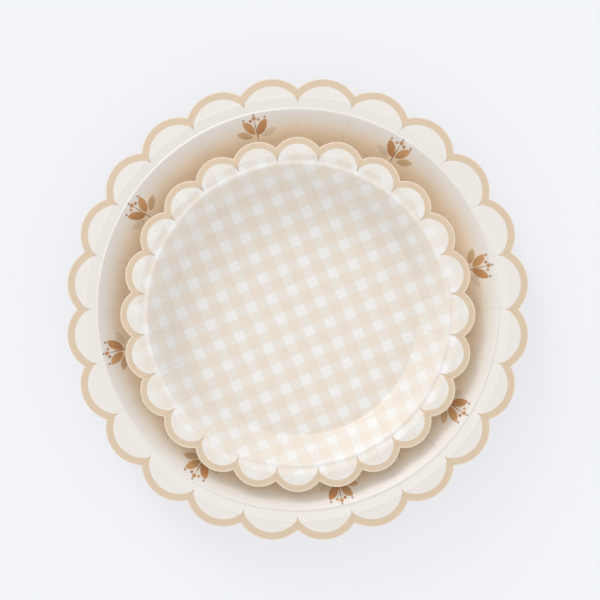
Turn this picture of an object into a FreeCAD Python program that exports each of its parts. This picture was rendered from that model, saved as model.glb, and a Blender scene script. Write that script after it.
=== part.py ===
import FreeCAD, Part
import math
import os

# Two scalloped paper plates, a dessert plate lying in a dinner plate. Millimetres, +Z up.
# The origin is the middle of the dinner plate's foot, on the table.
# Each plate is one sheet of board, cut to a scalloped outline and pressed in one stroke. It is drawn
# as the section of that sheet, revolved, trimmed to the outline and creased at every notch.

# Both plates
board = 0.5                  # thickness of the paperboard
lobe_count = 24              # scallops round each rim
crease_width = 0.9           # pleat at each notch, where the pressed board gathers
crease_depth = 0.16          # how far a crease sinks into the face
crease_stop = 0.5            # how far short of the rounds a crease ends

# Dinner plate. Widths are seen from above, and heights are those of the upper face.
dinner_tip_radius = 115.0    # middle to the tips of the scallops
dinner_notch = 5.7           # how far the notches are cut in from the tips
dinner_lobe_width = 9.8      # tips in to the crown, the highest line of the rim
dinner_lobe_droop = 0.85     # how much lower than the crown the tips lie
dinner_ring_width = 4.8      # ring that slopes down from the crown in to the groove
dinner_ring_drop = 0.75
dinner_flank_width = 1.3     # outer flank of the raised bead, in from the groove
dinner_flank_rise = 0.5
dinner_wall_run = 17.5       # bead in to the edge of the floor
dinner_depth = 18.6          # floor up to the bead, before its top is rounded
dinner_floor_round = 5.0     # inside radius between floor and wall
dinner_bead_round = 1.6      # radius over the bead
dinner_crown_round = 1.0     # radius over the crown

# Dessert plate
dessert_margin = 11.1        # dinner plate's bead in to the tips of the scallops
dessert_notch = 4.8
dessert_lobe_width = 8.5
dessert_lobe_droop = 0.6
dessert_ring_width = 3.4
dessert_ring_drop = 1.15
dessert_flank_width = 1.2
dessert_flank_rise = 0.45
dessert_wall_run = 13.2
dessert_depth = 17.2
dessert_floor_round = 3.0
dessert_bead_round = 1.4
dessert_crown_round = 2.0

# How the dessert plate lies in the dinner plate
nest_shift = -2.5            # along Y from the dinner plate's middle
nest_turn = 0.5              # of one scallop, about the vertical

round_step = 35.0            # most degrees of a round that one flat of the press tool spans
trim_spare = 3.0             # sheet left outside the outline until it is trimmed
tool_spare = 0.1             # how far a crease's form stands above the face

UP = FreeCAD.Vector(0, 0, 1)
SIDEWAYS = FreeCAD.Vector(0, 1, 0)
ORIGIN = FreeCAD.Vector(0, 0, 0)
lobe_pitch = 360 / lobe_count


def rounded_corner(last, here, following, corner_round):
    """Points along the arc that rounds a corner of the section, a flat for each round_step of turn."""
    if corner_round == 0:
        return [here]
    to_last = last - here
    to_next = following - here
    half_angle = to_last.getAngle(to_next) / 2
    room = min(0.5 * to_last.Length, 0.95 * to_next.Length)
    reach = min(corner_round / math.tan(half_angle), room)
    to_last.normalize()
    to_next.normalize()
    centre = here + (to_last + to_next).normalize() * (reach / math.cos(half_angle))
    spoke = here + to_last * reach - centre
    turn = 180 - 2 * math.degrees(half_angle)
    bend_way = math.copysign(1, to_next.cross(to_last).y)
    flats = math.ceil(turn / round_step)
    bends = [FreeCAD.Rotation(SIDEWAYS, bend_way * turn * i / flats) for i in range(flats + 1)]
    return [centre + bend.multVec(spoke) for bend in bends]


def face_section(corners):
    """The face's section through (radius, height, round) corners, as points, and its straight runs."""
    places = [FreeCAD.Vector(radius, 0, height) for radius, height, _ in corners]
    points = [places[0]]
    runs = []
    for i in range(1, len(places) - 1):
        arc = rounded_corner(places[i - 1], places[i], places[i + 1], corners[i][2])
        runs.append((points[-1], arc[0]))
        points.extend(arc)
    runs.append((points[-1], places[-1]))
    points.append(places[-1])
    return points, runs


def revolved_sheet(points):
    """The sheet under the face's section, one board thick all over."""
    section = Part.makePolygon(points).makeOffset2D(-board, 2, True, True)
    return section.revolve(ORIGIN, UP, 360)


def round_point(radius, angle):
    return FreeCAD.Vector(radius * math.cos(math.radians(angle)), radius * math.sin(math.radians(angle)), 0)


def scalloped_blank(tip_radius, notch, height):
    """The cut outline, one arc for each scallop, as a prism that is taller than the plate."""
    arcs = []
    for i in range(lobe_count):
        first_notch = round_point(tip_radius - notch, i * lobe_pitch)
        tip = round_point(tip_radius, (i + 0.5) * lobe_pitch)
        next_notch = round_point(tip_radius - notch, (i + 1) * lobe_pitch)
        arcs.append(Part.Arc(first_notch, tip, next_notch).toShape())
    return Part.Face(Part.Wire(arcs)).extrude(UP * height)


def crease(run):
    """A V-shaped bar along one straight run of the face, its point crease_depth under the surface."""
    start, end = run
    along = end - start
    margin = along * (crease_stop / along.Length)
    outwards = along.cross(SIDEWAYS).normalize()
    half_top = crease_width / 2 * (crease_depth + tool_spare) / crease_depth
    apex = start + margin - outwards * crease_depth
    top = start + margin + outwards * tool_spare
    profile = Part.makePolygon([apex, top + SIDEWAYS * half_top, top - SIDEWAYS * half_top, apex])
    return Part.Face(profile).extrude(along - margin * 2)


def pressed_plate(section, tip_radius, notch):
    """One plate with its foot on the XY plane and its first notch on the X axis."""
    points, runs = face_section(section)
    tallest = max(point.z for point in points)
    plate = revolved_sheet(points).common(scalloped_blank(tip_radius, notch, 2 * tallest))
    creases = [crease(run) for run in (runs[1], runs[-1])]
    turns = [i * lobe_pitch for i in range(lobe_count)]
    return plate.cut([bar.rotated(ORIGIN, UP, turn) for bar in creases for turn in turns])


dinner_crown_radius = dinner_tip_radius - dinner_lobe_width
dinner_groove_radius = dinner_crown_radius - dinner_ring_width
dinner_bead_radius = dinner_groove_radius - dinner_flank_width
dinner_bead_height = board + dinner_depth
dinner_groove_height = dinner_bead_height - dinner_flank_rise
dinner_crown_height = dinner_groove_height + dinner_ring_drop
dinner_droop_spare = trim_spare * dinner_lobe_droop / dinner_lobe_width

dinner_section = [
    (0, board, 0),
    (dinner_bead_radius - dinner_wall_run, board, dinner_floor_round),
    (dinner_bead_radius, dinner_bead_height, dinner_bead_round),
    (dinner_groove_radius, dinner_groove_height, 0),
    (dinner_crown_radius, dinner_crown_height, dinner_crown_round),
    (dinner_tip_radius + trim_spare, dinner_crown_height - dinner_lobe_droop - dinner_droop_spare, 0),
]

dessert_tip_radius = dinner_bead_radius - dessert_margin
dessert_crown_radius = dessert_tip_radius - dessert_lobe_width
dessert_groove_radius = dessert_crown_radius - dessert_ring_width
dessert_bead_radius = dessert_groove_radius - dessert_flank_width
dessert_bead_height = board + dessert_depth
dessert_groove_height = dessert_bead_height - dessert_flank_rise
dessert_crown_height = dessert_groove_height + dessert_ring_drop
dessert_droop_spare = trim_spare * dessert_lobe_droop / dessert_lobe_width

dessert_section = [
    (0, board, 0),
    (dessert_bead_radius - dessert_wall_run, board, dessert_floor_round),
    (dessert_bead_radius, dessert_bead_height, dessert_bead_round),
    (dessert_groove_radius, dessert_groove_height, 0),
    (dessert_crown_radius, dessert_crown_height, dessert_crown_round),
    (dessert_tip_radius + trim_spare, dessert_crown_height - dessert_lobe_droop - dessert_droop_spare, 0),
]

dinner_plate = pressed_plate(dinner_section, dinner_tip_radius, dinner_notch)

dessert_plate = pressed_plate(dessert_section, dessert_tip_radius, dessert_notch)
dessert_plate.rotate(ORIGIN, UP, nest_turn * lobe_pitch)
dessert_plate.translate(FreeCAD.Vector(0, nest_shift, board))

os.makedirs("parts", exist_ok=True)
for node, shape in (("dinner_plate", dinner_plate), ("dessert_plate", dessert_plate)):
    shape.exportStep("parts/" + node + ".step")
    print(node, len(shape.Solids), "solid", shape.isValid(), round(shape.Volume), "mm3", shape.BoundBox)
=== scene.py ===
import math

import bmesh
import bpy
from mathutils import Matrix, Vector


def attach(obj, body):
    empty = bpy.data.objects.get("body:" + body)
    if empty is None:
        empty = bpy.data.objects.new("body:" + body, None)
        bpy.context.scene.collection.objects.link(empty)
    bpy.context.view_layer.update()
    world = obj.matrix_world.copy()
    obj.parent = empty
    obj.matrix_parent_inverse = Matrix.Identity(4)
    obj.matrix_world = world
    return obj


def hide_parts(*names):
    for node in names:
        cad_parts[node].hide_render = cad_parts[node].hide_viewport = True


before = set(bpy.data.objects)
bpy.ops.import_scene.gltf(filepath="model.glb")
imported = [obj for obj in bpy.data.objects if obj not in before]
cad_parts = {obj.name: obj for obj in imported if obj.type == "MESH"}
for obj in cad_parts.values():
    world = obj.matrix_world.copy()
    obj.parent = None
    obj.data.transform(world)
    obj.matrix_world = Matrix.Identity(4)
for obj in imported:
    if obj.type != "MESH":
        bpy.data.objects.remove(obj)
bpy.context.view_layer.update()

# %% [markdown]
# # Two scalloped paper plates
# A pressed paper plate is one flat sheet of board. A die cuts its outline, a press shapes it in one
# stroke, and the spare board round the rim gathers into creases. Here a dessert plate lies in a dinner
# plate, and both are made by the same rule, so one Geometry Nodes tree makes them both.
# Blender works in metres. Sizes are easier to read in millimetres, so one factor turns them over.

mm = 0.001

# %% [markdown]
# ## Sizes of the board and of each plate
# A round plate is fully told by the section of its upper face. Each corner of the section is a radius,
# a height and the radius that rounds it, all in millimetres. Going outwards the corners are the middle,
# the edge of the floor, the raised bead, the shallow groove, the crown and the tip of a scallop. The
# large plate's face also has a fine pressed line, a small step down just outside the crown.

# %% Sizes
board = 0.5 * mm
scallops = 24
pitch = 2 * math.pi / scallops

dinner = {
    "tip": 115.0 * mm,
    "notch": 5.7 * mm,
    "section": [(0, 0.5, 0), (81.6, 0.5, 5.0), (99.2, 19.15, 1.4), (100.15, 18.6, 0.5),
                (105.2, 19.33, 0.8), (115.0, 18.48, 0)],
    "pressed_line": [(105.6, 19.18, 0.5)],
    "turn": 0.0,
    "shift": (0.0, 0.0, 0.0),
}
dessert = {
    "tip": 88.0 * mm,
    "notch": 4.8 * mm,
    "section": [(0, 0.5, 0), (61.7, 0.5, 3.0), (74.6, 17.6, 1.6), (76.6, 17.26, 1.0),
                (79.5, 18.4, 2.0), (88.0, 17.8, 0)],
    "pressed_line": [],
    "turn": pitch / 2,
    "shift": (0.0, -2.5 * mm, board),
}
print("over the tips:", [round(2 * plate["tip"] / mm) for plate in (dinner, dessert)], "mm")

# %% [markdown]
# ## The section as a smooth line
# A press leaves round corners, so each corner is replaced by points along an arc. The underside is the
# same line one board lower. It is made by moving the corners first and rounding them after, because
# an arc that is moved by more than its own radius would turn inside out.

# %% Rounding a line's corners
arc_step = math.radians(6)
arc_share = 0.45       # most of a side that one arc may take, so that two arcs never meet
least_round = 0.3      # mm, the tightest bend of the board's underside


def rounded_line(corners):
    """Points of a line through (radius, height, round) corners in mm, with an arc at each corner."""
    places = [Vector((radius, height)) for radius, height, _ in corners]
    points = [places[0]]
    for i in range(1, len(places) - 1):
        before = places[i - 1] - places[i]
        after = places[i + 1] - places[i]
        half_angle = before.angle(after) / 2
        room = arc_share * min(before.length, after.length)
        reach = min(corners[i][2] / math.tan(half_angle), room)
        turn = math.pi - 2 * half_angle
        steps = max(2, math.ceil(turn / arc_step))
        start = places[i] + before.normalized() * reach
        end = places[i] + after.normalized() * reach
        bisector = (before.normalized() + after.normalized()).normalized()
        centre = places[i] + bisector * reach / math.cos(half_angle)
        spoke, last_spoke = start - centre, end - centre
        for step in range(steps + 1):
            share = step / steps
            weight_start = math.sin((1 - share) * turn) / math.sin(turn)
            weight_end = math.sin(share * turn) / math.sin(turn)
            points.append(centre + spoke * weight_start + last_spoke * weight_end)
    points.append(places[-1])
    return points


def lowered(corners, depth):
    """The same corners on the line that runs depth mm under them, measured square to it."""
    result = []
    for i, (radius, height, corner_round) in enumerate(corners):
        here = Vector((radius, height))
        ahead = Vector(corners[min(i + 1, len(corners) - 1)][:2]) - here
        behind = here - Vector(corners[max(i - 1, 0)][:2])
        ahead = ahead.normalized() if ahead.length else behind.normalized()
        behind = behind.normalized() if behind.length else ahead
        normal = Vector((-(ahead + behind).y, (ahead + behind).x)).normalized()
        straight = Vector((-ahead.y, ahead.x))
        moved = here - normal * depth / normal.dot(straight)
        rises = behind.x * ahead.y - behind.y * ahead.x > 0
        spare = depth if rises else -depth
        result.append((moved.x, moved.y, max(corner_round + spare, least_round)))
    return result


def filled(points, spacing):
    """Adds points wherever two of them are further apart than spacing mm."""
    result = [points[0]]
    for last, here in zip(points, points[1:]):
        parts = max(1, math.ceil((here - last).length / spacing))
        result.extend(last.lerp(here, part / parts) for part in range(1, parts + 1))
    return result


print("the large plate's rounded section has", len(rounded_line(dinner["section"])), "points")

# %% [markdown]
# ## How strongly a crease shows along the section
# The floor has no creases. They start in the bend of the wall, grow faint where the bead stretches the
# board, and are plain again in the groove and between the scallops. This strength is kept as an
# attribute of the section: an arrow that points into the board and is as long as the crease is strong.

# %% Crease strength
crease_start = 2.0       # mm past the floor's edge over which a crease grows to full strength
bead_side = 1.5          # mm inside the bead where the stretched board begins
bead_strength = 0.35     # how much of a crease is left on the bead


def crease_strength(radius, plate):
    floor_edge, bead, groove = (plate["section"][i][0] for i in (1, 2, 3))
    if radius < bead - bead_side:
        return min(max((radius - floor_edge) / crease_start, 0.0), 1.0)
    if radius < groove:
        return bead_strength
    return 1.0


print("on the bead a crease keeps", crease_strength(dinner["section"][2][0], dinner), "of its depth")

# %% [markdown]
# ## The section as an object
# The tree reads the section from an object whose vertices go out along the face, down the cut edge and
# back under the sheet. A die leaves the edge with tiny chamfers, which catch the light as a thin line.

# %% The section's vertices
chamfer = 0.06           # mm
chamfer_rise = 0.07      # how steeply the scallop climbs from its tip
face_spacing = 3.0       # mm, the longest step along the face
under_spacing = 4.0      # mm, the same along the underside


def sheet_section(name, plate):
    corners = plate["section"]
    face = filled(rounded_line(corners[:-1] + plate["pressed_line"] + corners[-1:]), face_spacing)
    under = filled(rounded_line(lowered(corners, board / mm)), under_spacing)
    tip = corners[-1][0]
    top, bottom = face[-1].y, under[-1].y
    under[0].x, face[0].x = 0.0, 0.0
    face[-1] = Vector((tip - chamfer, top + chamfer * chamfer_rise))
    under[-1] = Vector((tip - chamfer, bottom + chamfer * chamfer_rise))
    edge = [Vector((tip, top - chamfer)), Vector((tip, bottom + chamfer))]
    loop = face + edge + under[::-1]

    mesh = bpy.data.meshes.new(name)
    lines = [(i, i + 1) for i in range(len(loop) - 1)]
    mesh.from_pydata([(place.x * mm, 0, place.y * mm) for place in loop], lines, [])
    pleat = mesh.attributes.new("pleat", "FLOAT_VECTOR", "POINT")
    for i, here in enumerate(loop):
        along = loop[min(i + 1, len(loop) - 1)] - loop[max(i - 1, 0)]
        if i > len(face):
            along = -along
        normal = Vector((along.y, -along.x)).normalized()
        strength = crease_strength(here.x, plate)
        pleat.data[i].vector = (normal.x * strength, 0, normal.y * strength)
    section = bpy.data.objects.new(name, mesh)
    bpy.context.collection.objects.link(section)
    print(name, "has", len(face), "points on the face and", len(under), "under it")
    return section, len(face)


# %% [markdown]
# ## One function for every node
# Node trees built in code are easier to read when each node is one line. This function adds a node,
# sets its properties, and fills its inputs: a socket is linked, and any other value is typed in. It
# returns one output, from which the rest can be reached.

# %% Adding a node
MATH = "ShaderNodeMath"
VECTOR_MATH = "ShaderNodeVectorMath"
MAP_RANGE = "ShaderNodeMapRange"
MIX = "ShaderNodeMix"


def add_node(tree, kind, inputs=(), out=0, **settings):
    node = tree.nodes.new(kind)
    for name, value in settings.items():
        setattr(node, name, value)
    for key, value in dict(inputs).items():
        if isinstance(value, bpy.types.NodeSocket):
            tree.links.new(value, node.inputs[key])
        else:
            node.inputs[key].default_value = value
    return node.outputs[out]


# %% [markdown]
# ## The tree that presses a plate
# The tree draws one scallop and repeats it. A grid is bent into a wedge: one side of the grid runs
# along the section and the other runs from notch to notch, with its steps closer together near the
# notches, where the crease is. Beyond the crown the wedge is shortened to the arc of the scallop. Then
# the wedge is instanced all the way round, made real, and its seams and its pole are merged.

# %% Inputs of the tree
tree = bpy.data.node_groups.new("pressed scalloped plate", "GeometryNodeTree")
input_kinds = {
    "Section": "Geometry", "Face rows": "Int", "Scallops": "Int", "Steps": "Int",
    "Tip radius": "Float", "Arc radius": "Float", "Scallop start": "Float", "Scallop slope": "Float",
    "Crease width": "Float", "Crease depth": "Float", "Unevenness": "Float", "Seed": "Float",
    "Turn": "Float", "Shift": "Vector", "Print": "Material", "Cut edge": "Material", "Back": "Material",
}
for name, kind in input_kinds.items():
    tree.interface.new_socket(name, in_out="INPUT", socket_type="NodeSocket" + kind)
tree.interface.new_socket("Plate", in_out="OUTPUT", socket_type="NodeSocketGeometry")
given = {socket.name: socket for socket in tree.nodes.new("NodeGroupInput").outputs}
print("the tree has", len(input_kinds), "inputs")

# %% The wedge's grid, and how far round and how far out each vertex lies
crowding = 1.6           # over 1 crowds the steps near the notches
rows = add_node(tree, "GeometryNodeAttributeDomainSize", {"Geometry": given["Section"]})
steps_more = add_node(tree, MATH, {0: given["Steps"], 1: 1.0}, operation="ADD")
grid = add_node(tree, "GeometryNodeMeshGrid", {"Size X": 2.0, "Vertices X": steps_more, "Vertices Y": rows})
place = add_node(tree, "GeometryNodeInputPosition")
across = add_node(tree, "ShaderNodeSeparateXYZ", {0: place})
index = add_node(tree, "GeometryNodeInputIndex")
row = add_node(tree, MATH, {0: index, 1: rows}, operation="FLOORED_MODULO")

half_pitch = add_node(tree, MATH, {0: math.pi, 1: given["Scallops"]}, operation="DIVIDE")
side = add_node(tree, MATH, {0: across}, operation="SIGN")
distance = add_node(tree, MATH, {0: across}, operation="ABSOLUTE")
to_notch = add_node(tree, MATH, {0: 1.0, 1: distance}, operation="SUBTRACT")
spread = add_node(tree, MATH, {0: to_notch, 1: crowding}, operation="POWER")
from_tip = add_node(tree, MATH, {0: 1.0, 1: spread}, operation="SUBTRACT")
angle_size = add_node(tree, MATH, {0: from_tip, 1: half_pitch}, operation="MULTIPLY")
angle = add_node(tree, MATH, {0: angle_size, 1: side}, operation="MULTIPLY")

section_place = add_node(
    tree, "GeometryNodeSampleIndex", {"Geometry": given["Section"], "Value": place, "Index": row},
    data_type="FLOAT_VECTOR")
sampled = add_node(tree, "ShaderNodeSeparateXYZ", {0: section_place}).node.outputs
print("the wedge takes its radius and height from the section, row by row")

# %% [markdown]
# ## The arc of a scallop
# Seen from above, a scallop is part of a circle whose middle lies inside the rim. At each angle the
# edge lies where a line from the plate's middle leaves that circle. The part of the wedge beyond the
# crown is drawn in by the same share, and because the scallop slopes, drawing it in also lifts it.

# %% Drawing the wedge in to the scallop
arc_middle = add_node(tree, MATH, {0: given["Tip radius"], 1: given["Arc radius"]}, operation="SUBTRACT")
cosine = add_node(tree, MATH, {0: angle}, operation="COSINE")
sine = add_node(tree, MATH, {0: angle}, operation="SINE")
near = add_node(tree, MATH, {0: arc_middle, 1: cosine}, operation="MULTIPLY")
beside = add_node(tree, MATH, {0: arc_middle, 1: sine}, operation="MULTIPLY")
beside_squared = add_node(tree, MATH, {0: beside, 1: beside}, operation="MULTIPLY")
arc_squared = add_node(tree, MATH, {0: given["Arc radius"], 1: given["Arc radius"]}, operation="MULTIPLY")
rest = add_node(tree, MATH, {0: arc_squared, 1: beside_squared}, operation="SUBTRACT")
rest_root = add_node(tree, MATH, {0: rest}, operation="SQRT")
edge_radius = add_node(tree, MATH, {0: near, 1: rest_root}, operation="ADD")
edge_reach = add_node(tree, MATH, {0: edge_radius, 1: given["Scallop start"]}, operation="SUBTRACT")
tip_reach = add_node(tree, MATH, {0: given["Tip radius"], 1: given["Scallop start"]}, operation="SUBTRACT")
share = add_node(tree, MATH, {0: edge_reach, 1: tip_reach}, operation="DIVIDE")

inner = add_node(tree, MATH, {0: sampled[0], 1: given["Scallop start"]}, operation="MINIMUM")
outer = add_node(tree, MATH, {0: sampled[0], 1: inner}, operation="SUBTRACT")
radius = add_node(tree, MATH, {0: outer, 1: share, 2: inner}, operation="MULTIPLY_ADD")
drawn_in = add_node(tree, MATH, {0: sampled[0], 1: radius}, operation="SUBTRACT")
height = add_node(
    tree, MATH, {0: drawn_in, 1: given["Scallop slope"], 2: sampled[2]}, operation="MULTIPLY_ADD")
print("nodes with the scallop's arc:", len(tree.nodes))

# %% [markdown]
# ## The creases, and what the print needs to know
# A crease is a narrow valley along the line of each notch. How far a vertex lies from that line gives
# the valley's depth. The tan band of the print keeps its distance from the cut edge, and the creases get
# painted shade. So each vertex keeps two measures as attributes: how far it is from the cut edge, and how
# deep it lies in a crease, from 0 to 1.

# %% The creases
angle_left = add_node(tree, MATH, {0: half_pitch, 1: angle_size}, operation="SUBTRACT")
sine_left = add_node(tree, MATH, {0: angle_left}, operation="SINE")
from_notch = add_node(tree, MATH, {0: radius, 1: sine_left}, operation="MULTIPLY")
half_crease = add_node(tree, MATH, {0: given["Crease width"], 1: 0.5}, operation="MULTIPLY")
valley_shape = add_node(
    tree, MAP_RANGE,
    {"Value": from_notch, "From Min": 0.0, "From Max": half_crease, "To Min": 1.0, "To Max": 0.0},
    interpolation_type="SMOOTHSTEP")
valley = add_node(tree, MATH, {0: valley_shape, 1: given["Crease depth"]}, operation="MULTIPLY")
pleat = add_node(tree, "GeometryNodeInputNamedAttribute", {"Name": "pleat"}, data_type="FLOAT_VECTOR")
section_pleat = add_node(
    tree, "GeometryNodeSampleIndex", {"Geometry": given["Section"], "Value": pleat, "Index": row},
    data_type="FLOAT_VECTOR")
pleat_strength = add_node(tree, VECTOR_MATH, {0: section_pleat}, out=1, operation="LENGTH")
crease = add_node(tree, MATH, {0: valley_shape, 1: pleat_strength}, operation="MULTIPLY")
sunk = add_node(tree, VECTOR_MATH, {0: section_pleat, "Scale": valley}, operation="SCALE")
sunk_parts = add_node(tree, "ShaderNodeSeparateXYZ", {0: sunk}).node.outputs

final_radius = add_node(tree, MATH, {0: radius, 1: sunk_parts[0]}, operation="ADD")
final_height = add_node(tree, MATH, {0: height, 1: sunk_parts[2]}, operation="ADD")
x = add_node(tree, MATH, {0: final_radius, 1: cosine}, operation="MULTIPLY")
y = add_node(tree, MATH, {0: final_radius, 1: sine}, operation="MULTIPLY")
wedge_place = add_node(tree, "ShaderNodeCombineXYZ", {0: x, 1: y, 2: final_height})
print("nodes with the creases:", len(tree.nodes))

# %% The two measures that the print needs, and the wedge itself
past_middle = add_node(tree, MATH, {0: x, 1: arc_middle}, operation="SUBTRACT")
past_middle_only = add_node(tree, MATH, {0: past_middle, 1: 0.0}, operation="MAXIMUM")
from_arc_middle = add_node(tree, "ShaderNodeCombineXYZ", {0: past_middle_only, 1: y})
reach = add_node(tree, VECTOR_MATH, {0: from_arc_middle}, out=1, operation="LENGTH")
from_edge = add_node(tree, MATH, {0: given["Arc radius"], 1: reach}, operation="SUBTRACT")
rows_less = add_node(tree, MATH, {0: rows, 1: 1.0}, operation="SUBTRACT")
face_row = add_node(tree, MATH, {0: index, 1: rows_less}, operation="FLOORED_MODULO")

wedge = grid
for name, measure, domain in (("from_edge", from_edge, "POINT"), ("crease", crease, "POINT"),
                              ("row", face_row, "FACE")):
    wedge = add_node(
        tree, "GeometryNodeStoreNamedAttribute", {"Geometry": wedge, "Name": name, "Value": measure},
        data_type="FLOAT", domain=domain)
wedge = add_node(tree, "GeometryNodeSetPosition", {"Geometry": wedge, "Position": wedge_place})
print("nodes with the wedge:", len(tree.nodes))

# %% [markdown]
# ## From one scallop to a plate
# The wedge is repeated at each scallop's angle. Real board never springs back quite evenly, so a soft
# noise with a fixed seed lets the rim sag by a hair here and there. Last come the three finishes: the
# printed face, the cut edge and the plain back, told apart by the row that each face was made in.

# %% Repeating the wedge
spots = add_node(tree, "GeometryNodePoints", {"Count": given["Scallops"]})
pitch_angle = add_node(tree, MATH, {0: half_pitch, 1: 2.0}, operation="MULTIPLY")
first_angle = add_node(tree, MATH, {0: half_pitch, 1: given["Turn"]}, operation="ADD")
spot_angle = add_node(tree, MATH, {0: index, 1: pitch_angle, 2: first_angle}, operation="MULTIPLY_ADD")
spot_turn = add_node(tree, "ShaderNodeCombineXYZ", {2: spot_angle})
ring = add_node(
    tree, "GeometryNodeInstanceOnPoints", {"Points": spots, "Instance": wedge, "Rotation": spot_turn})
plate_sheet = add_node(tree, "GeometryNodeRealizeInstances", {0: ring})
seam_gap = 0.001 * mm
plate_sheet = add_node(tree, "GeometryNodeMergeByDistance", {"Geometry": plate_sheet, "Distance": seam_gap})
plate_sheet = add_node(tree, "GeometryNodeFlipFaces", {0: plate_sheet})
print("nodes with the whole ring:", len(tree.nodes))

# %% Uneven rim, and the plate's own place
sag_patches = 24.0       # to a metre, so that a soft spot is about 42 mm across
sag_from = 0.9           # share of the scallops' start at which the sheet begins to sag
flat_place = add_node(tree, VECTOR_MATH, {0: place, 1: (1.0, 1.0, 0.0)}, operation="MULTIPLY")
rim_noise = add_node(
    tree, "ShaderNodeTexNoise",
    {"Vector": flat_place, "W": given["Seed"], "Scale": sag_patches, "Detail": 1.0}, noise_dimensions="4D")
out_from_middle = add_node(tree, VECTOR_MATH, {0: flat_place}, out=1, operation="LENGTH")
rim_start = add_node(tree, MATH, {0: given["Scallop start"], 1: sag_from}, operation="MULTIPLY")
most_sag = add_node(tree, MATH, {0: given["Unevenness"], 1: -1.0}, operation="MULTIPLY")
sag_here = add_node(
    tree, MAP_RANGE,
    {"Value": out_from_middle, "From Min": rim_start, "From Max": given["Tip radius"],
     "To Min": 0.0, "To Max": most_sag})
sag = add_node(tree, MATH, {0: rim_noise, 1: sag_here}, operation="MULTIPLY")
sag_arrow = add_node(tree, "ShaderNodeCombineXYZ", {2: sag})
plate_sheet = add_node(tree, "GeometryNodeSetPosition", {"Geometry": plate_sheet, "Offset": sag_arrow})
plate_sheet = add_node(
    tree, "GeometryNodeTransform", {"Geometry": plate_sheet, "Translation": given["Shift"]})
print("nodes with the uneven rim:", len(tree.nodes))

# %% Smooth faces with a crisp cut edge, and the three finishes
crisp_from = math.radians(40)
edge_strips = 3.0        # an upper chamfer, the cut and a lower chamfer
plate_sheet = add_node(tree, "GeometryNodeSetShadeSmooth", {"Geometry": plate_sheet, "Shade Smooth": True})
edge_angle = add_node(tree, "GeometryNodeInputMeshEdgeAngle")
is_sharp = add_node(tree, MATH, {0: edge_angle, 1: crisp_from}, operation="GREATER_THAN")
plate_sheet = add_node(
    tree, "GeometryNodeSetShadeSmooth",
    {"Geometry": plate_sheet, "Selection": is_sharp, "Shade Smooth": False}, domain="EDGE")
made_in_row = add_node(tree, "GeometryNodeInputNamedAttribute", {"Name": "row"}, data_type="FLOAT")
past_face = add_node(tree, MATH, {0: given["Face rows"], 1: 1.5}, operation="SUBTRACT")
past_edge = add_node(tree, MATH, {0: past_face, 1: edge_strips}, operation="ADD")
on_edge = add_node(tree, MATH, {0: made_in_row, 1: past_face}, operation="GREATER_THAN")
on_back = add_node(tree, MATH, {0: made_in_row, 1: past_edge}, operation="GREATER_THAN")
for where, finish in ((True, "Print"), (on_edge, "Cut edge"), (on_back, "Back")):
    plate_sheet = add_node(
        tree, "GeometryNodeSetMaterial",
        {"Geometry": plate_sheet, "Selection": where, "Material": given[finish]})
tree.links.new(plate_sheet, tree.nodes.new("NodeGroupOutput").inputs[0])
print("the tree has", len(tree.nodes), "nodes")

# %% [markdown]
# ## Colours
# Colours are chosen as sRGB hex values, as a picture shows them. Blender's shaders want linear light,
# so one function turns one into the other. A Mix node has a set of sockets for each kind of value. For
# colours they are the amount at input 0, the colours at inputs 6 and 7, and the result at output 2.

# %% From hex to linear light
def colour(hex_value):
    channels = [int(hex_value[i:i + 2], 16) / 255 for i in (0, 2, 4)]
    return tuple(c / 12.92 if c <= 0.04045 else ((c + 0.055) / 1.055) ** 2.4 for c in channels) + (1.0,)


of_colours = {"out": 2, "data_type": "RGBA"}
print("the sRGB grey 808080 is", round(colour("808080")[0], 3), "in linear light")

# %% [markdown]
# ## Lacquered paperboard
# The face is bleached board, offset printed and sealed with a thin satin lacquer. The lacquer is a coat
# over the ink: it gives soft, wide highlights and no mirror image. Board fibres are about 0.05 mm across,
# too fine for the picture, so they are drawn ten times coarser, as a faint bump. Over the print lies the
# tan band, which keeps its width from the cut edge, and then a pale line along the cut: partly the board's
# white core, partly a painted highlight of the edge. Each crease gets painted shade, darkest where the
# band's inner edge crosses it.

# %% The satin board that every finish starts from
def new_material(name):
    material = bpy.data.materials.new(name)
    material.use_nodes = True
    material.node_tree.nodes.clear()
    return material, material.node_tree


drawn_fibre = 0.5 * mm
fibre_relief = 0.05 * mm
satin = 0.38             # roughness of the lacquer
printed_face = {"roughness": 0.5, "bump": 0.25, "lacquer": 0.5}


def finish_board(tree, ink, roughness, bump, lacquer=0.0):
    """Ends a material as board with this ink on it, and a faint fibre bump."""
    place = add_node(tree, "ShaderNodeTexCoord", out=3)
    fibres = add_node(
        tree, "ShaderNodeTexNoise", {"Vector": place, "Scale": 0.5 / drawn_fibre, "Detail": 3.0})
    relief = add_node(
        tree, "ShaderNodeBump", {"Height": fibres, "Strength": bump, "Distance": fibre_relief})
    board_shader = add_node(
        tree, "ShaderNodeBsdfPrincipled",
        {"Base Color": ink, "Roughness": roughness, "IOR": 1.5, "Normal": relief,
         "Coat Weight": lacquer, "Coat Roughness": satin})
    tree.links.new(board_shader, tree.nodes.new("ShaderNodeOutputMaterial").inputs[0])


# %% The tan band, the cut line with its painted highlight, and the painted shade in the creases
band_blur = 0.12 * mm    # the dot screen of the print softens its edges
tan_ink = colour("CCB79D")
# the pale cut line: the board's white core, and in part a painted highlight of the edge
cut_core_and_highlight = colour("E6D7C4")
# painted shade of the fold: the ink is darkened down in each crease
crease_shade_ink = colour("956F4A")
crease_shade_strength = 0.08
cusp_shade_strength = 0.6        # more, where the band's edge crosses a crease
cusp_reach = 0.09        # share of the band's width
crease_shade_from = 0.2       # how deep in a crease the painted shade begins
cut_full = 0.4           # share of the cut line at its full strength, before it fades inwards
cut_strength = 0.7


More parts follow.
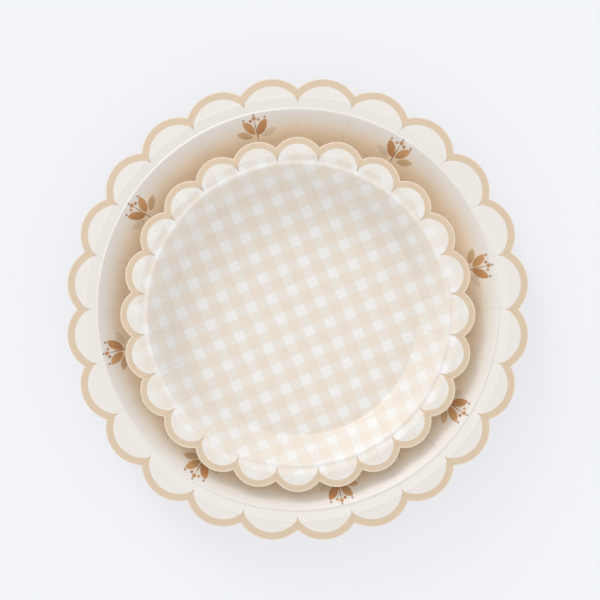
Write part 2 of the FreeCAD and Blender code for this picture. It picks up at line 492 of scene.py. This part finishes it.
def banded(tree, ink, band_width, cut_line):
    from_edge = add_node(tree, "ShaderNodeAttribute", out=2, attribute_name="from_edge")
    crease = add_node(tree, "ShaderNodeAttribute", out=2, attribute_name="crease")
    in_band = add_node(
        tree, MAP_RANGE,
        {"Value": from_edge, "From Min": band_width - band_blur, "From Max": band_width + band_blur,
         "To Min": 1.0, "To Max": 0.0})
    ink = add_node(tree, MIX, {0: in_band, 6: ink, 7: tan_ink}, **of_colours)
    # A pale line along the cut: the board's white core, and in part a painted highlight of the edge.
    at_cut = add_node(
        tree, MAP_RANGE,
        {"Value": from_edge, "From Min": cut_line * cut_full, "From Max": cut_line,
         "To Min": cut_strength, "To Max": 0.0})
    ink = add_node(tree, MIX, {0: at_cut, 6: ink, 7: cut_core_and_highlight}, **of_colours)
    # Painted shade down in each crease, darkest where the band's inner edge crosses it.
    at_cusp = add_node(
        tree, MATH, {0: from_edge, 1: band_width, 2: cusp_reach * band_width}, operation="COMPARE")
    crease_shade_amount = add_node(tree, MATH, {0: at_cusp, 1: cusp_shade_strength, 2: crease_shade_strength}, operation="MULTIPLY_ADD")
    painted_crease_shade = add_node(
        tree, MAP_RANGE,
        {"Value": crease, "From Min": crease_shade_from, "From Max": 1.0, "To Min": 0.0, "To Max": crease_shade_amount})
    return add_node(tree, MIX, {0: painted_crease_shade, 6: ink, 7: crease_shade_ink}, **of_colours)


# %% [markdown]
# ## The small plate's check
# Gingham is a cloth woven from white and coloured stripes both ways, and it is darkest where two
# coloured stripes cross. The print copies it with three flat tints: white, one stripe and two stripes. A
# Mapping node moves the check to its place on the plate, turns it and scales one repeat to a length
# of one. The flat printed sheet is drawn inwards as the wall is pressed, so a place on the wall shows what
# was printed up to 3.3 mm further out. From the wall outwards the check is washed out a little, and more
# on the scallops: a painted sheen of the lacquer.

# %% The flat sheet's place under each point of the plate
drawn_in = 3.3 * mm
wall_from, wall_to = 62.0 * mm, 74.0 * mm

check_board, tree = new_material("paperboard printed with gingham")
place = add_node(tree, "ShaderNodeTexCoord", out=3)
from_middle = add_node(
    tree, "ShaderNodeMapping", {"Vector": place, "Location": dessert["shift"]}, vector_type="TEXTURE")
flat_place = add_node(tree, VECTOR_MATH, {0: from_middle, 1: (1.0, 1.0, 0.0)}, operation="MULTIPLY")
radius = add_node(tree, VECTOR_MATH, {0: flat_place}, out=1, operation="LENGTH")
extra = add_node(
    tree, MAP_RANGE,
    {"Value": radius, "From Min": wall_from, "From Max": wall_to, "To Min": 0.0, "To Max": drawn_in},
    interpolation_type="SMOOTHSTEP")
sheet_radius = add_node(tree, MATH, {0: radius, 1: extra}, operation="ADD")
stretch = add_node(tree, MATH, {0: sheet_radius, 1: radius}, operation="DIVIDE")
sheet_place = add_node(tree, VECTOR_MATH, {0: flat_place, "Scale": stretch}, operation="SCALE")
print("the wall takes in", round(drawn_in / mm, 1), "mm of the printed sheet")

# %% Printed check
check_repeat = 11.15 * mm
check_turn = math.radians(23)
check_middle = (1.5 * mm, 1.85 * mm, 0.0)
stripe_edge = (0.2, 0.26)     # of a repeat, from the middle of a white square
# Painted sheen of the lacquer: from the wall outwards the check is washed out a little.
fade_from, fade_to = 61.0 * mm, 64.0 * mm
ink_left_by_sheen = 0.82           # of the ink
bare_white, one_stripe, two_stripes = colour("E0DFDD"), colour("DBD4CB"), colour("DACEC0")

check_place = add_node(
    tree, "ShaderNodeMapping",
    {"Vector": sheet_place, "Location": check_middle, "Rotation": (0, 0, check_turn),
     "Scale": (check_repeat, check_repeat, 1.0)},
    vector_type="TEXTURE")
axes = add_node(tree, "ShaderNodeSeparateXYZ", {0: check_place}).node.outputs
wall_sheen_fade = add_node(
    tree, MAP_RANGE,
    {"Value": radius, "From Min": fade_from, "From Max": fade_to, "To Min": 1.0, "To Max": ink_left_by_sheen})
stripes = []
for axis in axes[:2]:
    shifted = add_node(tree, MATH, {0: axis, 1: 0.5}, operation="ADD")
    part = add_node(tree, MATH, {0: shifted}, operation="FRACT")
    from_white = add_node(tree, MATH, {0: part, 1: 0.5}, operation="SUBTRACT")
    from_white_size = add_node(tree, MATH, {0: from_white}, operation="ABSOLUTE")
    stripe = add_node(
        tree, MAP_RANGE, {"Value": from_white_size, "From Min": stripe_edge[0], "From Max": stripe_edge[1]})
    stripes.append(add_node(tree, MATH, {0: stripe, 1: wall_sheen_fade}, operation="MULTIPLY"))
both = add_node(tree, MATH, {0: stripes[0], 1: stripes[1]}, operation="MULTIPLY")
either = add_node(tree, MATH, {0: stripes[0], 1: stripes[1]}, operation="MAXIMUM")
ink = add_node(tree, MIX, {0: either, 6: bare_white, 7: one_stripe}, **of_colours)
ink = add_node(tree, MIX, {0: both, 6: ink, 7: two_stripes}, **of_colours)
print("the check repeats every", round(check_repeat / mm, 2), "mm")

# %% The painted sheen on the scallops, and the small plate's face
# Painted sheen of the lacquer: the scallops are washed towards a pale grey white.
painted_sheen_white = colour("DAD6CF")
pale_from, pale_to = 78.5 * mm, 80.5 * mm
scallop_sheen_strength = 0.55
scallop_sheen = add_node(
    tree, MAP_RANGE,
    {"Value": radius, "From Min": pale_from, "From Max": pale_to, "To Min": 0.0, "To Max": scallop_sheen_strength})
ink = add_node(tree, MIX, {0: scallop_sheen, 6: ink, 7: painted_sheen_white}, **of_colours)
ink = banded(tree, ink, band_width=3.3 * mm, cut_line=0.8 * mm)
finish_board(tree, ink, **printed_face)
print("the small plate's finish has", len(tree.nodes), "nodes")

# %% [markdown]
# ## The large plate's cream and its leaf sprigs
# The rim is printed cream. Down the wall the ink is painted warmer and lighter towards the floor: painted
# warm bounce light, which also lifts the shade under the small plate's edge. Eight small sprigs of leaves
# and berries stand on the wall, and the small plate hides the foot of some of them. They are drawn once and
# repeated round the plate by folding the angle, and every second one is mirrored. A leaf is the shape that
# two overlapping circles share, so one distance from a mirrored circle tells what is leaf, and a berry is a
# plain circle. Both are placed in millimetres on the wall, with the first number along the wall and the
# second one outwards.

# %% Folding the wall into one sprig's field
sprigs = 8
sprig_radius = 90.0      # mm from the plate's middle
first_sprig = math.radians(13)
mottle_scale = 700.0     # to a metre, so that a spot of the washed ink is about 1.4 mm across

cream_board, tree = new_material("paperboard printed cream with sprigs")
place = add_node(tree, "ShaderNodeTexCoord", out=3)
axes = add_node(tree, "ShaderNodeSeparateXYZ", {0: place}).node.outputs
flat_place = add_node(tree, "ShaderNodeCombineXYZ", {0: axes[0], 1: axes[1]})
radius = add_node(tree, VECTOR_MATH, {0: flat_place}, out=1, operation="LENGTH")
angle = add_node(tree, MATH, {0: axes[1], 1: axes[0]}, operation="ARCTAN2")
turns = add_node(tree, MATH, {0: angle, 1: first_sprig}, operation="SUBTRACT")
turns = add_node(tree, MATH, {0: turns, 1: sprigs / (2 * math.pi)}, operation="MULTIPLY")
nearest = add_node(tree, MATH, {0: turns}, operation="ROUND")
beside = add_node(tree, MATH, {0: turns, 1: nearest}, operation="SUBTRACT")
along = add_node(tree, MATH, {0: beside, 1: -2 * math.pi * sprig_radius / sprigs}, operation="MULTIPLY")
alternate = add_node(tree, MATH, {0: nearest, 1: math.pi}, operation="MULTIPLY")
mirrored = add_node(tree, MATH, {0: alternate}, operation="COSINE")
along = add_node(tree, MATH, {0: along, 1: mirrored}, operation="MULTIPLY")
out_mm = add_node(tree, MATH, {0: radius, 1: 1 / mm, 2: -sprig_radius}, operation="MULTIPLY_ADD")
field = add_node(tree, "ShaderNodeCombineXYZ", {0: along, 1: out_mm})
mottle = add_node(tree, "ShaderNodeTexNoise", {"Vector": place, "Scale": mottle_scale, "Detail": 2.0})
print(sprigs, "sprigs,", round(2 * math.pi * sprig_radius / sprigs), "mm apart")


# %% Leaves and berries
leaf_blur = (0.15, 0.1)  # mm inside and outside a leaf's edge
berry_blur = 0.12


def leaf_mask(tree, field, middle, degrees, length, width):
    """1 inside a pointed leaf, from the shape that two circles share."""
    circle = (length ** 2 + width ** 2) / (4 * width)
    own = add_node(
        tree, "ShaderNodeMapping",
        {"Vector": field, "Location": (*middle, 0), "Rotation": (0, 0, math.radians(degrees))},
        vector_type="TEXTURE")
    parts = add_node(tree, "ShaderNodeSeparateXYZ", {0: own}).node.outputs
    aside = add_node(tree, MATH, {0: parts[1]}, operation="ABSOLUTE")
    aside = add_node(tree, MATH, {0: aside, 1: circle - width / 2}, operation="ADD")
    from_circle = add_node(tree, "ShaderNodeCombineXYZ", {0: parts[0], 1: aside})
    reach = add_node(tree, VECTOR_MATH, {0: from_circle}, out=1, operation="LENGTH")
    return add_node(
        tree, MAP_RANGE,
        {"Value": reach, "From Min": circle - leaf_blur[0], "From Max": circle + leaf_blur[1],
         "To Min": 1.0, "To Max": 0.0})


def berry_mask(tree, field, middle, size):
    away = add_node(tree, VECTOR_MATH, {0: field, 1: (*middle, 0)}, out=1, operation="DISTANCE")
    return add_node(
        tree, MAP_RANGE,
        {"Value": away, "From Min": size - berry_blur, "From Max": size + berry_blur,
         "To Min": 1.0, "To Max": 0.0})


# Middle, direction in degrees, length and width in mm, and the light and dark ink of the wash
leaves = [
    ((0.0, 1.5), 90, 11.0, 0.6, "A57752", "916541"),
    ((-6.3, 0.6), 155, 8.0, 3.2, "D7BA97", "CFAD85"),
    ((6.2, 0.2), 20, 8.0, 3.2, "E8DAC6", "DDCDB4"),
    ((-3.2, 3.3), 125, 8.0, 3.8, "CEA375", "BE8955"),
    ((3.0, 2.9), 52, 8.4, 4.0, "C89769", "B27843"),
]
# Middle and radius in mm, and the ink
berries = [((0.0, 7.2), 0.95, "B88355"), ((-1.8, 6.3), 0.7, "AB754A"), ((1.9, 6.4), 0.7, "C2986E"),
           ((-5.0, 7.2), 0.5, "9D6D4A"), ((5.0, 7.0), 0.5, "9D6D4A"), ((0.1, 8.8), 0.4, "71503B")]

# %% The large plate's face
# Painted warm bounce light: towards the floor the ink turns warmer and lighter, which lifts the shade under
# the small plate's edge.
painted_warm_bounce, rim_cream = colour("FFECD2"), colour("DCD7D1")
deep_to, rim_from = 86.0 * mm, 99.0 * mm
up_the_wall = add_node(
    tree, MAP_RANGE, {"Value": radius, "From Min": deep_to, "From Max": rim_from},
    interpolation_type="SMOOTHSTEP")
ink = add_node(tree, MIX, {0: up_the_wall, 6: painted_warm_bounce, 7: rim_cream}, **of_colours)
for middle, degrees, length, width, light, dark in leaves:
    wash = add_node(tree, MIX, {0: mottle, 6: colour(light), 7: colour(dark)}, **of_colours)
    mask = leaf_mask(tree, field, middle, degrees, length, width)
    ink = add_node(tree, MIX, {0: mask, 6: ink, 7: wash}, **of_colours)
for middle, size, tint in berries:
    mask = berry_mask(tree, field, middle, size)
    ink = add_node(tree, MIX, {0: mask, 6: ink, 7: colour(tint)}, **of_colours)
ink = banded(tree, ink, band_width=3.75 * mm, cut_line=0.55 * mm)
finish_board(tree, ink, **printed_face)
print(len(leaves), "leaves and", len(berries), "berries to a sprig")

# %% [markdown]
# ## The cut edge and the back
# Neither is printed or lacquered. The cut shows the board's own torn fibres and gives the eye a thin,
# dull line. The back is plain warm white board, matt and with no highlight, and it throws a warm light
# on whatever lies under it.

# %% The cut edge and the back
cut_board, tree = new_material("die cut paperboard core")
finish_board(tree, colour("DFD7CC"), roughness=0.8, bump=0.5)

back_board, tree = new_material("warm white paperboard back")
finish_board(tree, colour("F6EADA"), roughness=0.7, bump=0.5)
print("made", cut_board.name, "and", back_board.name)

# %% [markdown]
# ## Pressing the two plates
# Each plate's section object gets the tree as a modifier. Its inputs are set by identifier before the
# object is first evaluated. The result is taken off as a plain mesh for the piece itself, and the section
# goes, with its modifier.

# %% Pressing
steps_across = 28        # of the wedge, from notch to notch
crease_width = 0.9 * mm
crease_depth = 0.11 * mm
rim_sag = 0.25 * mm


def pressed_plate(name, plate, print_material):
    section, face_rows = sheet_section(name + "_section", plate)
    tip, notch = plate["tip"], plate["notch"]
    notch_radius = tip - notch
    arc_middle = (tip ** 2 - notch_radius ** 2) / (2 * (tip - notch_radius * math.cos(pitch / 2)))
    start, start_height, _ = (plate["section"][-2:-1] + plate["pressed_line"])[-1]
    droop = start_height - plate["section"][-1][1]
    sizes = {
        "Face rows": face_rows, "Scallops": scallops, "Steps": steps_across,
        "Tip radius": tip, "Arc radius": tip - arc_middle,
        "Scallop start": start * mm, "Scallop slope": droop * mm / (tip - start * mm),
        "Crease width": crease_width, "Crease depth": crease_depth,
        "Unevenness": rim_sag, "Seed": tip / mm, "Turn": plate["turn"], "Shift": plate["shift"],
        "Print": print_material, "Cut edge": cut_board, "Back": back_board,
    }
    modifier = section.modifiers.new("press", "NODES")
    modifier.node_group = bpy.data.node_groups["pressed scalloped plate"]
    for socket in modifier.node_group.interface.items_tree:
        if socket.name in sizes:
            modifier[socket.identifier] = sizes[socket.name]
    evaluated = section.evaluated_get(bpy.context.evaluated_depsgraph_get())
    mesh = bpy.data.meshes.new_from_object(evaluated)
    mesh.name = name
    piece = bpy.data.objects.new(name, mesh)
    bpy.context.collection.objects.link(piece)
    bpy.data.objects.remove(section)

    shape = bmesh.new()
    shape.from_mesh(mesh)
    open_edges = sum(not edge.is_manifold for edge in shape.edges)
    print(name, len(mesh.polygons), "faces,", round(shape.calc_volume(signed=True) / mm ** 3), "mm3,",
          open_edges, "open edges, arc radius", round((tip - arc_middle) / mm, 2), "mm")
    shape.free()
    return piece


dinner_board = pressed_plate("dinner_plate_board", dinner, cream_board)
dessert_board = pressed_plate("dessert_plate_board", dessert, check_board)

# %% [markdown]
# ## Riding on the frame
# Both plates are one rigid body at rest. Each piece stands for its CAD node.

# %% Riding
for piece, node, slot in ((dinner_board, "dinner_plate", "dinner_board"),
                          (dessert_board, "dessert_plate", "dessert_board")):
    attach(piece, "root")
    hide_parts(node)
    print(piece.name, "stands for", node)

# %% [markdown]
# ## Table, light and camera
# White tableware is often shown on an opal acrylic table that is lit from below. The table shines by
# itself, so the shadows on it stay pale. An even white sky gives the soft shading, and one large, low lamp
# at the upper left brightens the walls that face it and leaves the near ones in shade. The camera looks
# straight down through a long lens, which keeps the circles round. It hangs a few millimetres off the
# middle, because the plates don't lie quite in the middle of the picture.

# %% Table
half_table = 4.0
corners = [(-half_table, -half_table, 0), (half_table, -half_table, 0),
           (half_table, half_table, 0), (-half_table, half_table, 0)]
floor_mesh = bpy.data.meshes.new("floor")
floor_mesh.from_pydata(corners, [], [(0, 1, 2, 3)])
floor = bpy.data.objects.new("floor", floor_mesh)
bpy.context.collection.objects.link(floor)
opal_acrylic, tree = new_material("opal acrylic table lit from below")
shader = add_node(
    tree, "ShaderNodeBsdfPrincipled",
    {"Base Color": colour("9E9FA1"), "Roughness": 0.9, "Emission Color": colour("F7F9FF"),
     "Emission Strength": 0.52})
tree.links.new(shader, tree.nodes.new("ShaderNodeOutputMaterial").inputs[0])
floor_mesh.materials.append(opal_acrylic)
print("the table is", 2 * half_table, "m wide")

# %% Light
sky_strength = 1.05
key_strength = 1.0
key_bearing, key_elevation, key_width = 120, 21, 24     # degrees, the first anticlockwise from +X

sky = bpy.data.worlds.new("even studio sky")
sky.use_nodes = True
background = sky.node_tree.nodes["Background"].inputs
background["Color"].default_value = (1.0, 1.0, 1.0, 1.0)
background["Strength"].default_value = sky_strength
bpy.context.scene.world = sky

key = bpy.data.lights.new("key light", "SUN")
key.energy = key_strength
key.angle = math.radians(key_width)
key_object = bpy.data.objects.new("key light", key)
key_object.rotation_euler = (math.radians(90 - key_elevation), 0, math.radians(key_bearing + 90))
bpy.context.collection.objects.link(key_object)
print("the key light stands", key_elevation, "degrees above the table")

# %% Camera
lens = bpy.data.cameras.new("camera")
lens.lens = 100
lens.sensor_width = 36
lens.clip_start = 0.01
camera = bpy.data.objects.new("camera", lens)
camera.location = (1.1 * mm, 4.65 * mm, 844 * mm)
bpy.context.collection.objects.link(camera)
bpy.context.scene.camera = camera
print("the camera hangs", round(camera.location.z / mm), "mm above the table")

# %% [markdown]
# ## How the picture is developed
# Blender's default look bends bright whites to grey. A catalogue picture of white tableware keeps them,
# so the plain sRGB view is used.

# %% View
bpy.context.scene.view_settings.view_transform = "Standard"
